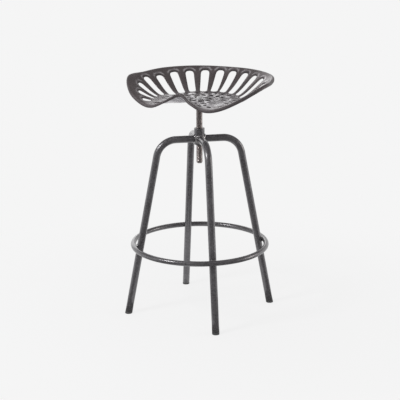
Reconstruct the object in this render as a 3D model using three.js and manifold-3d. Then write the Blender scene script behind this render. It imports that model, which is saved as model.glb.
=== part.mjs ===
// Adjustable stool with a pressed steel tractor seat on a threaded spindle.
// Millimetres, +Z up, origin on the floor under the spindle, front of the seat towards -Y.
import * as THREE from "three";
import { mergeVertices } from "three/addons/utils/BufferGeometryUtils.js";
import Module from "manifold-3d";

const wasm = await Module();
wasm.setup();

// Frame sizes
const legTubeDiameter = 22;
const legTubeWall = 1.5;
const crossTubeHeight = 543.5;
const footCircleRadius = 227;
const legSplay = THREE.MathUtils.degToRad(10.92);
const legBendRadius = 60;
const firstLegTurn = THREE.MathUtils.degToRad(38.8);
const footCapLength = 7;
const footPlugLength = 18;
const ringTubeDiameter = 16;
const ringTubeWall = 1.2;
const ringHeight = 213;
const ringVentDiameter = 4;

// Hub sizes
const hubDiameter = 32;
const hubBottomHeight = 526;
const hubLength = 51;
const hubChamfer = 2;
const bushDiameter = 25;
const bushRecess = 3;

// Spindle sizes
const spindleDiameter = 19;
const spindleBottomHeight = 467;
const spindleTipHeight = 7;
const spindleChamfer = 1.5;
const centreBoltDiameter = 10;
const centreBoltGrip = 24;
const centreHeadDiameter = 17;
const centreHeadHeight = 5;
const centreWasherDiameter = 25;
const centreWasherThickness = 2.5;

// Seat sizes
const panHeight = 664;
const panRadius = 108;
const sheetThickness = 2;
const seatHalfWidth = 232;
const seatRise = 72;
const rimRollRadius = 5;
const rimDrop = 9;
const slotInnerWidth = 21.5;
const slotOuterWidth = 27.5;
const slotInnerCorner = 7;
const slotOuterCorner = 12;

// Seat mounting sizes
const flangeDiameter = 84;
const flangeThickness = 4;
const flangeBossDiameter = 32;
const flangeBossLength = 16;
const flangeBoltCircle = 62;
const flangeBoltDiameter = 6;
const flangeBoltTail = 2.7;
const flangeHeadDiameter = 11;
const flangeHeadHeight = 3;
const flangeNutWidth = 11.5;
const flangeNutThickness = 5;

// Punched petals of the pan
const petalCircleRadius = 92;
const petalLength = 22;
const petalWidth = 13;

// Clearances
const touchGap = 0.3;
const runningGap = 0.35;
const holeGap = 0.5;
const weldDistance = 0.0003;

// Counts
const legCount = 4;
const flangeBoltCount = 4;
const petalCount = 8;
const roundSteps = 20;
const tubeSteps = 16;
const holeSteps = 12;
const ventSteps = 8;
const bendSteps = 8;
const ringSteps = 64;
const ringTubeSteps = 12;
const ringBoreSteps = 8;
const slotCornerSteps = 3;
const seatSpokes = 80;

// Seat rim from its rear centre round to its front centre.
// Angles are shares of half a turn, radii of the half width and heights of the seat's rise.
const rimAngleShares = [0, 0.11, 0.22, 0.33, 0.44, 0.55, 0.66, 0.75, 0.83, 0.915, 1];
const rimRadiusShares = [0.91, 0.92, 0.935, 0.965, 0.96, 0.99, 0.9, 0.79, 0.715, 0.635, 0.535];
const rimHeightShares = [0.97, 0.975, 0.97, 0.935, 0.88, 0.85, 0.41, 0.06, 0, 0.26, 0.5];
const rimSlopeShares = [1.1, 0.92, 0.58, 0.43, 0.47, 0.52, 0.38, 0.11, -0.2, 0.1, 0.25];
const panEdgeShares = [0.93, 0.985, 1.03, 1.06, 1.1, 1.065, 1.015, 0.945, 0.8, 0.55, 0.42];

// Slots on each side from the rear forwards.
// Their turns are shares of half a turn, and their starts and ends of the wall's width there.
const slotTurnShares = [0.0365, 0.118, 0.2015, 0.287, 0.3755, 0.463, 0.547, 0.629, 0.711];
const slotStartShares = [0.235, 0.202, 0.177, 0.118, 0.015, 0.16, 0.185, 0.249, 0.512];
const slotEndShares = [0.941, 0.915, 0.87, 0.851, 0.804, 0.856, 0.749, 0.763, 0.833];
const narrowestSlotShare = 0.6;

// Rings of points across the seat's floor, up its wall and round its rolled rim
const floorRingShares = [0.25, 0.5, 0.75, 1];
const wallRingShares = [0.14, 0.28, 0.42, 0.56, 0.7, 0.85, 1];
const rollRingShares = [0.34, 0.67, 1];

// Rounded bolt heads and spindle tip, from the edge to the crown
const domeRadiusShares = [1, 1, 0.85, 0.5, 0];
const domeHeightShares = [0, 0.3, 0.7, 0.95, 1];

// Heights and radii worked out from the sizes
const hubTopHeight = hubBottomHeight + hubLength;
const hubRadius = hubDiameter / 2;
const tubeRadius = legTubeDiameter / 2;
const sheetUnderside = panHeight - sheetThickness;
const flangeTopHeight = sheetUnderside - touchGap;
const flangeUnderside = flangeTopHeight - flangeThickness;
const spindleTopHeight = flangeTopHeight;
const centreWasherTop = panHeight + touchGap + centreWasherThickness;
const cutMargin = legTubeDiameter;

const framePaint = { color: 0x515156, roughness: 0.42, metalness: 0.55 };
const seatPaint = { color: 0x57565a, roughness: 0.38, metalness: 0.6 };
const rodSteel = { color: 0x6a625e, roughness: 0.35, metalness: 0.85 };
const brightSteel = { color: 0xb4b4b6, roughness: 0.3, metalness: 0.9 };
const darkPlastic = { color: 0x38383a, roughness: 0.6, metalness: 0 };

const stool = new THREE.Group();

function addPiece(name, geometry, finish, parent = stool) {
  const mesh = new THREE.Mesh(geometry, new THREE.MeshStandardMaterial(finish));
  mesh.name = name;
  parent.add(mesh);
}

function addTurnedGroup(angle) {
  const group = new THREE.Group();
  group.rotation.z = angle;
  stool.add(group);
  return group;
}

// Booleans on closed geometries
function solidOf(geometry) {
  const bare = new THREE.BufferGeometry();
  bare.setAttribute("position", geometry.getAttribute("position"));
  bare.setIndex(geometry.getIndex());
  const merged = mergeVertices(bare, weldDistance);
  return new wasm.Manifold(
    new wasm.Mesh({
      numProp: 3,
      vertProperties: merged.getAttribute("position").array,
      triVerts: new Uint32Array(merged.getIndex().array),
    }),
  );
}

function geometryOf(solid) {
  const { numProp, vertProperties, triVerts } = solid.getMesh();
  const made = new THREE.BufferGeometry();
  const positions = new THREE.InterleavedBuffer(vertProperties, numProp);
  made.setAttribute("position", new THREE.InterleavedBufferAttribute(positions, 3, 0));
  made.setIndex(new THREE.BufferAttribute(triVerts, 1));
  const flat = made.toNonIndexed();
  flat.computeVertexNormals();
  return flat;
}

function cut(geometry, ...tools) {
  let solid = solidOf(geometry);
  for (const tool of tools) {
    solid = solid.subtract(solidOf(tool));
  }
  return geometryOf(solid);
}

// Turned and extruded shapes, all along Z
function turned(profile, steps = roundSteps) {
  const points = profile.map(([radius, height]) => new THREE.Vector2(radius, height));
  return new THREE.LatheGeometry(points, steps).rotateX(Math.PI / 2);
}

function rod(radius, low, high, steps = roundSteps) {
  return turned([[0, low], [radius, low], [radius, high], [0, high]], steps);
}

function tubeOf(innerRadius, outerRadius, low, high) {
  return turned([
    [innerRadius, low],
    [outerRadius, low],
    [outerRadius, high],
    [innerRadius, high],
    [innerRadius, low],
  ]);
}

function polygonPoints(radius, sides, turn = 0) {
  return Array.from({ length: sides }, (_, i) => {
    const angle = turn + (2 * Math.PI * i) / sides;
    return new THREE.Vector2(radius * Math.cos(angle), radius * Math.sin(angle));
  });
}

function ringShape(outerPoints, innerPoints) {
  const shape = new THREE.Shape(outerPoints);
  shape.holes.push(new THREE.Path(innerPoints));
  return shape;
}

function plate(shape, low, high) {
  const depth = high - low;
  return new THREE.ExtrudeGeometry(shape, { depth, bevelEnabled: false }).translate(0, 0, low);
}

function domeProfile(radius, height) {
  return domeRadiusShares.map((share, i) => [radius * share, height * domeHeightShares[i]]);
}

function domeBolt(shankRadius, grip, headRadius, headHeight) {
  const head = domeProfile(headRadius, headHeight);
  return turned([[0, -grip], [shankRadius, -grip], [shankRadius, 0], ...head]);
}

// Centre line of a leg in its own upright plane: across from the hub, round the bend, down to the foot.
class LegPath extends THREE.Curve {
  constructor() {
    super();
    const cornerRadius = footCircleRadius - crossTubeHeight * Math.tan(legSplay);
    const bendAngle = Math.PI / 2 - legSplay;
    const tangentLength = legBendRadius * Math.tan(bendAngle / 2);
    const bendStart = cornerRadius - tangentLength;
    const endHeight = footCapLength * Math.cos(legSplay);
    const endRadius = footCircleRadius - footCapLength * Math.sin(legSplay);
    this.points = [new THREE.Vector3(hubRadius / 2, 0, crossTubeHeight)];
    for (let i = 0; i <= bendSteps; i++) {
      const angle = (bendAngle * i) / bendSteps;
      const x = bendStart + legBendRadius * Math.sin(angle);
      const z = crossTubeHeight - legBendRadius * (1 - Math.cos(angle));
      this.points.push(new THREE.Vector3(x, 0, z));
    }
    this.points.push(new THREE.Vector3(endRadius, 0, endHeight));
  }

  get steps() {
    return this.points.length - 1;
  }

  getPoint(t) {
    const place = Math.min(t * this.steps, this.steps - 1e-9);
    const i = Math.floor(place);
    return this.points[i].clone().lerp(this.points[i + 1], place - i);
  }

  getTangent(t) {
    const i = Math.round(t * this.steps);
    const before = this.points[Math.max(i - 1, 0)];
    const after = this.points[Math.min(i + 1, this.steps)];
    return after.clone().sub(before).normalize();
  }

  getUtoTmapping(u) {
    return u;
  }
}

function legTube() {
  const path = new LegPath();
  const section = ringShape(
    polygonPoints(tubeRadius, tubeSteps),
    polygonPoints(tubeRadius - legTubeWall, tubeSteps),
  );
  const sweep = new THREE.ExtrudeGeometry(section, { steps: path.steps, extrudePath: path });
  const hubSpace = rod(
    hubRadius + touchGap,
    hubBottomHeight - cutMargin,
    hubTopHeight,
    2 * roundSteps,
  );
  return cut(sweep, hubSpace);
}

function footCap() {
  const plugRadius = tubeRadius - legTubeWall - touchGap;
  const capTop = footCapLength - touchGap;
  const body = turned(
    [
      [0, -cutMargin],
      [tubeRadius, -cutMargin],
      [tubeRadius, capTop],
      [plugRadius, capTop],
      [plugRadius, capTop + footPlugLength],
      [0, capTop + footPlugLength],
    ],
    tubeSteps,
  );
  body.rotateY(-legSplay).translate(footCircleRadius, 0, 0);
  const floorSize = 4 * legTubeDiameter;
  const floor = new THREE.BoxGeometry(floorSize, floorSize, floorSize);
  floor.translate(footCircleRadius, 0, -floorSize / 2);
  return cut(body, floor);
}

function footRing() {
  const legRadiusThere = footCircleRadius - ringHeight * Math.tan(legSplay);
  const reach = (tubeRadius + ringTubeDiameter / 2 + touchGap) / Math.cos(legSplay);
  const ringRadius = legRadiusThere + reach;
  const outerRadius = ringTubeDiameter / 2;
  const boreRadius = outerRadius - ringTubeWall;
  const outer = new THREE.TorusGeometry(ringRadius, outerRadius, ringTubeSteps, ringSteps);
  const bore = new THREE.TorusGeometry(ringRadius, boreRadius, ringBoreSteps, ringSteps);
  const vent = rod(ringVentDiameter / 2, -ringTubeDiameter, 0, ventSteps);
  return cut(outer, bore, vent.translate(ringRadius, 0, 0)).translate(0, 0, ringHeight);
}

function hubSleeve() {
  const boreRadius = bushDiameter / 2 + touchGap;
  return turned([
    [boreRadius, hubBottomHeight],
    [hubRadius, hubBottomHeight],
    [hubRadius, hubTopHeight - hubChamfer],
    [hubRadius - hubChamfer, hubTopHeight],
    [boreRadius, hubTopHeight],
    [boreRadius, hubBottomHeight],
  ]);
}

function threadedBush() {
  const boreRadius = spindleDiameter / 2 + runningGap;
  const low = hubBottomHeight + bushRecess;
  return tubeOf(boreRadius, bushDiameter / 2, low, hubTopHeight);
}

function spindle() {
  const radius = spindleDiameter / 2;
  const topBore = centreBoltDiameter / 2 + touchGap;
  const topBoreEnd = spindleTopHeight - centreBoltGrip;
  const tipStart = spindleBottomHeight + spindleTipHeight;
  const tip = domeProfile(radius, spindleTipHeight).reverse();
  return turned([
    ...tip.map(([tipRadius, below]) => [tipRadius, tipStart - below]),
    [radius, spindleTopHeight - spindleChamfer],
    [radius - spindleChamfer, spindleTopHeight],
    [topBore, spindleTopHeight],
    [topBore, topBoreEnd],
    [0, topBoreEnd],
  ]);
}

function centreWasher() {
  const boreRadius = centreBoltDiameter / 2 + touchGap;
  return tubeOf(boreRadius, centreWasherDiameter / 2, panHeight + touchGap, centreWasherTop);
}

function centreBolt() {
  const headRadius = centreHeadDiameter / 2;
  const bolt = domeBolt(centreBoltDiameter / 2, centreBoltGrip, headRadius, centreHeadHeight);
  return bolt.translate(0, 0, centreWasherTop + touchGap);
}

// Flange bolt places round the spindle
function flangeBoltPlaces() {
  const quarter = Math.PI / flangeBoltCount;
  return polygonPoints(flangeBoltCircle / 2, flangeBoltCount, quarter);
}

function flangeBoltHoles(low, high) {
  const radius = flangeBoltDiameter / 2 + touchGap;
  return flangeBoltPlaces().map(({ x, y }) =>
    rod(radius, low, high, holeSteps).translate(x, y, 0),
  );
}

function mountFlange() {
  const boreRadius = spindleDiameter / 2 + touchGap;
  const bossRadius = flangeBossDiameter / 2;
  const rimRadius = flangeDiameter / 2;
  const bossEnd = flangeTopHeight - flangeBossLength;
  const body = turned([
    [boreRadius, bossEnd],
    [bossRadius, bossEnd],
    [bossRadius, flangeUnderside],
    [rimRadius, flangeUnderside],
    [rimRadius, flangeTopHeight],
    [boreRadius, flangeTopHeight],
    [boreRadius, bossEnd],
  ]);
  return cut(body, ...flangeBoltHoles(bossEnd, panHeight));
}

function flangeBolt() {
  const grip = sheetThickness + flangeThickness + flangeNutThickness + flangeBoltTail;
  const bolt = domeBolt(flangeBoltDiameter / 2, grip, flangeHeadDiameter / 2, flangeHeadHeight);
  return bolt.translate(0, 0, panHeight + touchGap);
}

function flangeNut() {
  const shape = ringShape(
    polygonPoints(flangeNutWidth / 2, 6),
    polygonPoints(flangeBoltDiameter / 2 + touchGap, holeSteps),
  );
  const high = flangeUnderside - touchGap;
  return plate(shape, high - flangeNutThickness, high);
}

// Closed curve through a table for half a turn and its mirror image
function mirroredCurve(half, mirror) {
  const otherHalf = half.slice(1, -1).reverse().map(mirror);
  return new THREE.CatmullRomCurve3([...half, ...otherHalf], true, "catmullrom", 0.5);
}

function rimCurve() {
  const half = rimAngleShares.map((share, i) => {
    const angle = Math.PI * share;
    const radius = seatHalfWidth * rimRadiusShares[i];
    const height = panHeight + seatRise * rimHeightShares[i];
    return new THREE.Vector3(radius * Math.sin(angle), radius * Math.cos(angle), height);
  });
  return mirroredCurve(half, ({ x, y, z }) => new THREE.Vector3(-x, y, z));
}

function wallCurve() {
  const half = rimSlopeShares.map(
    (slope, i) => new THREE.Vector3(slope, panRadius * panEdgeShares[i], 0),
  );
  return mirroredCurve(half, (entry) => entry.clone());
}

// Radii and heights down one spoke of the seat's upper surface: floor, wall and rolled rim
function spokeProfile(rim, wall) {
  const rimRadius = Math.hypot(rim.x, rim.y);
  const slopeAngle = Math.atan(wall.x);
  const rollRadius = rimRadius - rimRollRadius;
  const rollHeight = rim.z - rimRollRadius;
  const wallEnd = rollRadius - rimRollRadius * Math.sin(slopeAngle);
  const wallTop = rollHeight + rimRollRadius * Math.cos(slopeAngle);
  const span = wallEnd - wall.y;
  const floor = floorRingShares.map((share) => [wall.y * share, panHeight]);
  const side = wallRingShares.map((t) => {
    const rise = (wallTop - panHeight) * (3 * t ** 2 - 2 * t ** 3);
    const lean = span * wall.x * (t ** 3 - t ** 2);
    return [wall.y + span * t, panHeight + rise + lean];
  });
  const roll = rollRingShares.map((share) => {
    const angle = (Math.PI / 2 + slopeAngle) * (1 - share);
    return [
      rollRadius + rimRollRadius * Math.cos(angle),
      rollHeight + rimRollRadius * Math.sin(angle),
    ];
  });
  return [...floor, ...side, ...roll, [rimRadius, rim.z - rimDrop]];
}

// Upper and lower skins of the sheet as rings of points, outwards from the centre
function seatSkins() {
  const rim = rimCurve();
  const wall = wallCurve();
  const upper = Array.from({ length: seatSpokes }, (_, j) => {
    const edge = rim.getPoint(j / seatSpokes);
    const outward = new THREE.Vector3(edge.x, edge.y, 0).normalize();
    return spokeProfile(edge, wall.getPoint(j / seatSpokes)).map(([radius, height]) =>
      outward.clone().multiplyScalar(radius).setZ(height),
    );
  });
  const lower = upper.map((spoke, j) => {
    const next = upper[(j + 1) % seatSpokes];
    const previous = upper[(j + seatSpokes - 1) % seatSpokes];
    return spoke.map((point, i) => {
      const around = next[i].clone().sub(previous[i]);
      const out = spoke[Math.min(i + 1, spoke.length - 1)].clone().sub(spoke[Math.max(i - 1, 0)]);
      const normal = around.cross(out).normalize();
      return point.clone().addScaledVector(normal, -sheetThickness);
    });
  });
  return [upper, lower];
}

function seatSheet() {
  const [upper, lower] = seatSkins();
  const rings = upper[0].length;
  const points = [...upper.flat(), ...lower.flat()];
  points.push(new THREE.Vector3(0, 0, panHeight), new THREE.Vector3(0, 0, sheetUnderside));
  const lowerStart = seatSpokes * rings;
  const upperCentre = 2 * lowerStart;
  const faces = [];
  for (let j = 0; j < seatSpokes; j++) {
    const here = j * rings;
    const next = ((j + 1) % seatSpokes) * rings;
    faces.push(upperCentre, next, here);
    faces.push(upperCentre + 1, lowerStart + here, lowerStart + next);
    for (let i = 0; i < rings - 1; i++) {
      const quad = [here + i, next + i, next + i + 1, here + i + 1];
      faces.push(quad[0], quad[1], quad[2], quad[0], quad[2], quad[3]);
      const [a, b, c, d] = quad.map((corner) => corner + lowerStart);
      faces.push(a, c, b, a, d, c);
    }
    const outer = here + rings - 1;
    const outerNext = next + rings - 1;
    faces.push(outer, outerNext, lowerStart + outer);
    faces.push(outerNext, lowerStart + outerNext, lowerStart + outer);
  }
  const sheet = new THREE.BufferGeometry().setFromPoints(points);
  sheet.setIndex(faces);
  return sheet;
}

// A tapered slot with rounded corners, along +Y from its start to its end
function slotShape(start, end, innerWidth, outerWidth) {
  const inner = innerWidth / 2;
  const outer = outerWidth / 2;
  const halfLength = (end - start) / 2;
  const near = Math.min(slotInnerCorner, inner, halfLength);
  const far = Math.min(slotOuterCorner, outer, halfLength);
  const shape = new THREE.Shape();
  shape.moveTo(-inner + near, start);
  shape.lineTo(inner - near, start);
  shape.quadraticCurveTo(inner, start, inner, start + near);
  shape.lineTo(outer, end - far);
  shape.quadraticCurveTo(outer, end, outer - far, end);
  shape.lineTo(-outer + far, end);
  shape.quadraticCurveTo(-outer, end, -outer, end - far);
  shape.lineTo(-inner, start + near);
  shape.quadraticCurveTo(-inner, start, -inner + near, start);
  return shape;
}

function throughSeat(shape) {
  const depth = 2 * seatRise + panHeight - hubTopHeight;
  const options = { depth, bevelEnabled: false, curveSegments: slotCornerSteps };
  return new THREE.ExtrudeGeometry(shape, options).translate(0, 0, hubTopHeight);
}

// Value of one of the rim's tables between its entries
function alongRim(shares, turnShare) {
  const after = rimAngleShares.findIndex((share) => share > turnShare);
  const [low, high] = [rimAngleShares[after - 1], rimAngleShares[after]];
  const part = (turnShare - low) / (high - low);
  return shares[after - 1] + part * (shares[after] - shares[after - 1]);
}

// Radii where each side's slots start and end, between the floor's edge and the rolled rim
function slotSpans() {
  return slotTurnShares.map((turnShare, i) => {
    const wallStart = panRadius * alongRim(panEdgeShares, turnShare);
    const wallEnd = seatHalfWidth * alongRim(rimRadiusShares, turnShare) - 2 * rimRollRadius;
    const width = wallEnd - wallStart;
    return [wallStart + width * slotStartShares[i], wallStart + width * slotEndShares[i]];
  });
}

function seatSlots() {
  const spans = slotSpans();
  const fullLength = spans[0][1] - spans[0][0];
  return spans.flatMap(([start, end], i) => {
    const lengthShare = Math.min(1, (end - start) / fullLength);
    const widthShare = narrowestSlotShare + (1 - narrowestSlotShare) * lengthShare;
    const shape = slotShape(start, end, slotInnerWidth * widthShare, slotOuterWidth * widthShare);
    const turn = Math.PI * slotTurnShares[i];
    return [throughSeat(shape).rotateZ(-turn), throughSeat(shape).rotateZ(turn)];
  });
}

function seatPetals() {
  const shape = new THREE.Shape();
  shape.moveTo(-petalLength / 2, petalCircleRadius);
  shape.quadraticCurveTo(0, petalCircleRadius + petalWidth, petalLength / 2, petalCircleRadius);
  shape.quadraticCurveTo(0, petalCircleRadius - petalWidth, -petalLength / 2, petalCircleRadius);
  return Array.from({ length: petalCount }, (_, i) =>
    throughSeat(shape).rotateZ((2 * Math.PI * (i + 0.5)) / petalCount),
  );
}

function seatPan() {
  const high = panHeight + seatRise;
  const centreHole = rod(centreBoltDiameter / 2 + holeGap, flangeUnderside, high);
  const boltHoles = flangeBoltHoles(flangeUnderside, high);
  return cut(seatSheet(), ...seatSlots(), ...seatPetals(), centreHole, ...boltHoles);
}

// Frame
for (let i = 0; i < legCount; i++) {
  const group = addTurnedGroup(firstLegTurn + (2 * Math.PI * i) / legCount);
  addPiece(`leg_${i + 1}`, legTube(), framePaint, group);
  addPiece(`foot_cap_${i + 1}`, footCap(), darkPlastic, group);
}
addPiece("foot_ring", footRing(), framePaint);
addPiece("hub_sleeve", hubSleeve(), framePaint);
addPiece("threaded_bush", threadedBush(), rodSteel);

// Spindle and seat
addPiece("spindle", spindle(), rodSteel);
addPiece("seat_pan", seatPan(), seatPaint);
addPiece("mount_flange", mountFlange(), framePaint);
addPiece("centre_washer", centreWasher(), brightSteel);
addPiece("centre_bolt", centreBolt(), brightSteel);
flangeBoltPlaces().forEach(({ x, y }, i) => {
  addPiece(`flange_bolt_${i + 1}`, flangeBolt().translate(x, y, 0), rodSteel);
  addPiece(`flange_nut_${i + 1}`, flangeNut().translate(x, y, 0), rodSteel);
});

export default stool;
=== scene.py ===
import bpy
import bmesh
import random
import numpy as np
from math import atan2, cos, pi, radians, sin, sqrt, tan, tau
from mathutils import Matrix, Vector, kdtree
from mathutils.geometry import delaunay_2d_cdt


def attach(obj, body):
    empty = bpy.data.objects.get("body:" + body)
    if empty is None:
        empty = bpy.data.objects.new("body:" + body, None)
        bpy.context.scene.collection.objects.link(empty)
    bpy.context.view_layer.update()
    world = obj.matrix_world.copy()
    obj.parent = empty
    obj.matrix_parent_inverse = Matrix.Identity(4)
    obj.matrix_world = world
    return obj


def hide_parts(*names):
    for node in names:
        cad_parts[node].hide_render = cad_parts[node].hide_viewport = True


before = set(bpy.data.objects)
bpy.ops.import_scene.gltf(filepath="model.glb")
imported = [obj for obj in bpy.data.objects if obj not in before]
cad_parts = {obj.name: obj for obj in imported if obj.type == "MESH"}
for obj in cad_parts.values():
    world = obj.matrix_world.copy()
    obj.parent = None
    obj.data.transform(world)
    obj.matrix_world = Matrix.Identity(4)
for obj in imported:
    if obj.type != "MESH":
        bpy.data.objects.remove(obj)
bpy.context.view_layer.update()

mm = 0.001

# Studio: the stool stands on pale seamless paper between soft lamps at the front left, the right and
# the back. The room over the paper and in front of it is dark cloth, which only glossy surfaces see.
# It gives the tubes their dark cores. The camera looks a little down.
floor_shade, paper_color = (0.913, 0.913, 0.913, 1), (0.86, 0.86, 0.86, 1)
room_light, cloth_color = (0.62, 0.62, 0.63, 1), (1, 0.96, 0.95, 1)
camera_turn, camera_rise, camera_roll = radians(27), radians(15.436), radians(-0.205)
camera_distance, camera_side_shift = 3422.3 * mm, 1.13 * mm
camera_target = Vector((0, 0, 350.5 * mm))
lens_length, sensor_width, nearest_seen, farthest_seen = 100.3, 36, 0.1, 100
lamp_distance = 2.6
lamps = (("front_left_lamp", -31, 36, 0.6, 30, (1, 1, 1)),
         ("right_lamp", 117, 12, 0.9, 11, (1, 0.93, 0.88)),
         ("back_lamp", 224, 20, 1.8, 7.5, (1, 1, 1)))
canopy_reach, canopy_step, canopy_low_rise, canopy_first_turn = 6, 6, 24, -39
canopy_front_turns = range(canopy_first_turn, 92, canopy_step)
paper_front_edge, dark_floor_height = 0.33, 0.004
dark_strips, strips_end = ((-0.6, -0.18, 0.03), (0.0, 0.18, 0.2), (0.18, 0.6, -0.07)), 0.6
cloth_heights, cloth_glows = (2.4, 6.0), (0.21, 0.36)
floor_reach, shadow_reaches, shadow_depths = 20, (0.3, 1.1), (0.13, 0.0)
square = ((0, 0), (1, 0), (1, 1), (0, 1))


def direction(turn, rise):
    """From the stool towards a side and a height given in radians"""
    return Vector((sin(turn) * cos(rise), -cos(turn) * cos(rise), sin(rise)))


def from_target(turn, rise, distance):
    """A place at a turn and a rise in degrees from where the camera looks"""
    return camera_target + distance * direction(radians(turn), radians(rise))


def add(tree, kind, values=None, **settings):
    """A shader node with its settings, and each input set to a value or linked to a socket"""
    node = tree.nodes.new("ShaderNode" + kind)
    for setting, value in settings.items():
        setattr(node, setting, value)
    for socket, value in (values or {}).items():
        if isinstance(value, bpy.types.NodeSocket):
            tree.links.new(value, node.inputs[socket])
        else:
            node.inputs[socket].default_value = value
    return node


def combine(tree, operation, *terms, **settings):
    """One step of arithmetic on numbers and sockets"""
    return add(tree, "Math", dict(enumerate(terms)), operation=operation, **settings).outputs[0]


def ranged(tree, value, given=(0, 1), wanted=(0, 1), **settings):
    """A number taken from one range to another and held between its ends"""
    return add(tree, "MapRange", {"Value": value, "From Min": given[0], "From Max": given[1],
                                  "To Min": wanted[0], "To Max": wanted[1]}, **settings).outputs[0]


def blend(tree, share, first, second):
    """A colour between two, by a share"""
    return add(tree, "Mix", {0: share, 6: first, 7: second}, data_type="RGBA").outputs[2]


def seen_plainly(tree):
    """1 where a ray comes from the camera, a mirror-like surface or glass, and 0 elsewhere"""
    path = add(tree, "LightPath").outputs
    seen = combine(tree, "MAXIMUM", path["Is Camera Ray"], path["Is Glossy Ray"])
    return combine(tree, "MAXIMUM", seen, path["Is Transmission Ray"])


def studio_sheet(name, points, faces, finish):
    """A sheet of flat faces, and the node tree of its own empty finish"""
    mesh = bpy.data.meshes.new(name)
    mesh.from_pydata(points, [], faces)
    sheet = bpy.data.objects.new(name, mesh)
    scene.collection.objects.link(sheet)
    material = bpy.data.materials.new(finish)
    material.use_nodes = True
    material.node_tree.nodes.clear()
    mesh.materials.append(material)
    return sheet, material.node_tree


scene = bpy.context.scene
scene.view_settings.view_transform = "Standard"

camera_back, level_front = direction(camera_turn, camera_rise), direction(camera_turn, 0)
level_side = Vector((cos(camera_turn), sin(camera_turn), 0))
level_up = camera_back.cross(level_side)
camera_side = cos(camera_roll) * level_side + sin(camera_roll) * level_up
camera_up = cos(camera_roll) * level_up - sin(camera_roll) * level_side
camera_data = bpy.data.cameras.new("studio_camera")
camera_data.lens, camera_data.sensor_width, camera_data.sensor_fit = lens_length, sensor_width, "HORIZONTAL"
camera_data.clip_start, camera_data.clip_end = nearest_seen, farthest_seen
camera = bpy.data.objects.new("studio_camera", camera_data)
scene.collection.objects.link(camera)
camera_axes = Matrix((camera_side, camera_up, camera_back)).transposed().to_4x4()
camera_place = camera_target + camera_back * camera_distance + level_side * camera_side_shift
camera.matrix_world = Matrix.Translation(camera_place) @ camera_axes
scene.camera = camera

world = bpy.data.worlds.new("studio_room")
scene.world = world
world.use_nodes = True
tree = world.node_tree
tree.links.new(blend(tree, seen_plainly(tree), room_light, floor_shade),
               tree.nodes["Background"].inputs["Color"])

for name, turn, rise, size, power, color in lamps:
    light = bpy.data.lights.new(name, "AREA")
    light.size, light.energy, light.color = size, power, color
    lamp = bpy.data.objects.new(name, light)
    scene.collection.objects.link(lamp)
    back = direction(radians(turn), radians(rise))
    lamp.location = camera_target + back * lamp_distance
    lamp.rotation_euler = back.to_track_quat("Z", "Y").to_euler()


def canopy_skin():
    """Ceiling cloth all round, let down in front to a dark floor, with strips that reach in to the legs"""
    points = []
    for turn in range(canopy_first_turn, canopy_first_turn + 360, canopy_step):
        in_front = turn in canopy_front_turns
        for rise in range(-canopy_step if in_front else canopy_low_rise, 90, canopy_step):
            points += [from_target(turn + across * canopy_step, rise + up * canopy_step, canopy_reach)
                       for across, up in square]
        if in_front:
            for across, out in square:
                edge = (paper_front_edge, canopy_reach)[out]
                place = from_target(turn + across * canopy_step, 0, edge)
                points.append(Vector((place.x, place.y, dark_floor_height)))
    for left, right, start in dark_strips:
        points += [(left, right)[across] * level_side + (start, strips_end)[out] * level_front
                   + Vector((0, 0, dark_floor_height)) for across, out in square]
    return points, [tuple(range(first, first + 4)) for first in range(0, len(points), 4)]


canopy, tree = studio_sheet("dark_canopy", *canopy_skin(), "dark_cloth")
canopy.visible_camera = canopy.visible_diffuse = canopy.visible_shadow = False
height = add(tree, "SeparateXYZ", {0: add(tree, "TexCoord").outputs["Object"]}).outputs[2]
glow = ranged(tree, height, cloth_heights, cloth_glows)
cloth = add(tree, "Emission", {"Color": cloth_color, "Strength": glow})
add(tree, "OutputMaterial", {"Surface": cloth.outputs[0]})

floor_corners = [((2 * x - 1) * floor_reach, (2 * y - 1) * floor_reach, 0) for x, y in square]
floor, tree = studio_sheet("studio_floor", floor_corners, [(0, 1, 2, 3)], "floor_paper")
paper = add(tree, "BsdfDiffuse", {"Color": paper_color})
backdrop = add(tree, "Emission", {"Color": floor_shade})
away = add(tree, "VectorMath", {0: add(tree, "TexCoord").outputs["Object"]}, operation="LENGTH")
shadow = ranged(tree, away.outputs["Value"], shadow_reaches, shadow_depths, interpolation_type="SMOOTHSTEP")
plain = combine(tree, "MULTIPLY", combine(tree, "SUBTRACT", 1.0, shadow), seen_plainly(tree))
mixed = add(tree, "MixShader", {0: plain, 1: paper.outputs[0], 2: backdrop.outputs[0]})
add(tree, "OutputMaterial", {"Surface": mixed.outputs[0]})

# Four legs, each one length of 22 mm steel tube bent once near the top, coped to the hub and welded
# round it. They are painted gunmetal grey with a fine hammered texture after welding.
leg_count, first_leg_turn = 4, radians(38.8)
leg_radius, leg_wall, leg_sides = 11 * mm, 1.5 * mm, 40
leg_cross_height, foot_circle_radius = 543.5 * mm, 227 * mm
leg_splay, leg_bend_radius = radians(10.92), 60 * mm
leg_start_shares, leg_bend_steps, leg_straight_steps = (0.9, 1.3, 1.8, 2.5, 3.4), 20, 12
foot_cap_length, hub_radius, hub_touch = 7 * mm, 16 * mm, 0.3 * mm
leg_weld_size, leg_weld_stand_off, leg_weld_half_width, leg_weld_seed = 3.1 * mm, 0.5 * mm, 11.2 * mm, 11
weld_sides, weld_ripple_pitch, weld_trough_share, weld_ripple_share = 10, 3.0 * mm, 0.9, 0.2
weld_sway_share, weld_sway_count, weld_end_share, weld_growth_share = 0.08, 12, 0.45, 0.3
fleck_range, fleck_weight, tone_gain, dimple_softness = (0.38, 0.64), 0.7, 0.62, 0.6
fleck_detail, fleck_roughness, patch_detail = 4.0, 0.62, 2.0
rub_level, rub_gain, rub_offset, rub_softness, fine_patches = 0.34, 0.62, -0.25, 0.12, 14.0
broad_rub_detail, fine_rub_detail, fine_rub_roughness = 3.0, 5.0, 0.7
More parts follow.
